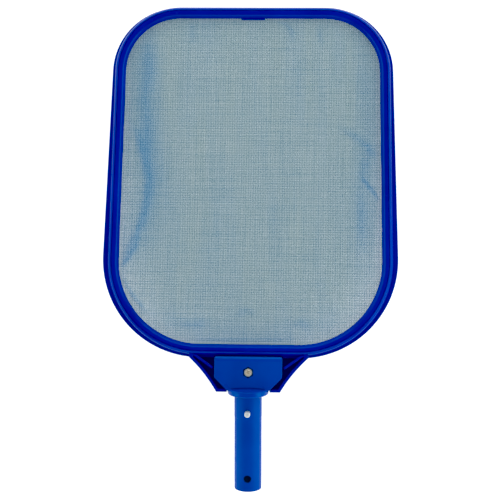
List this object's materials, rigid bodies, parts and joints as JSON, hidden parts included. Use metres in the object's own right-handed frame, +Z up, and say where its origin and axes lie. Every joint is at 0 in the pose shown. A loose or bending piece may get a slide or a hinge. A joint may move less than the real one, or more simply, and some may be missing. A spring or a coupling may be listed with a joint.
{
  "type": "leaf skimmer net",
  "caption": "Flat rounded rim holding a taut fine mesh for lifting leaves off pool water, with a bent-back hollow spigot and snap buttons that lock it to a pole.",
  "frame": {"origin": "on the floor, under the centre of the whole skimmer's bounding box, with the scoop edge and the handle's free end touching the floor", "axes": "+X to the right seen from the front, +Y from the handle towards the scoop edge, +Z up; the net's front face looks up, tipped 4.3 degrees towards +Y"},
  "size_m": [0.3094, 0.5106, 0.0544],
  "materials": {
    "frame_plastic": "glossy injection-moulded plastic",
    "handle_plastic": "satin-gloss injection-moulded plastic",
    "mesh_fabric": "fine woven nylon mesh",
    "hem_cord": "braided cord",
    "screw_steel": "plain stainless steel",
    "spring_steel": "rolled spring steel",
    "button_steel": "bright satin steel"
  },
  "bodies": {
    "skimmer": {"net_frame": "frame_plastic", "retaining_ring": "frame_plastic", "net_mesh": "mesh_fabric", "net_hem": "mesh_fabric", "hem_cord": "hem_cord", "handle_hub": "handle_plastic", "handle_tube": "handle_plastic", "hub_screw": "screw_steel", "hub_nut": "screw_steel", "clip_spring_bend": "spring_steel", "clip_front_leg": "spring_steel", "clip_rear_leg": "spring_steel"},
    "front_button": {"clip_front_button": "button_steel"},
    "rear_button": {"clip_rear_button": "button_steel"}
  },
  "joints": [
    {"name": "front_button_press", "type": "slide", "parent": "skimmer", "child": "front_button", "axis": [0, 0.1856, -0.9826], "range_m": [0, 0.0064], "stiffness_N_per_m": 1500, "springref_m": -0.003, "deforming": ["clip_front_leg"]},
    {"name": "rear_button_press", "type": "slide", "parent": "skimmer", "child": "rear_button", "axis": [0, -0.1856, 0.9826], "range_m": [0, 0.0064], "stiffness_N_per_m": 1500, "springref_m": -0.003, "deforming": ["clip_rear_leg"]}
  ]
}
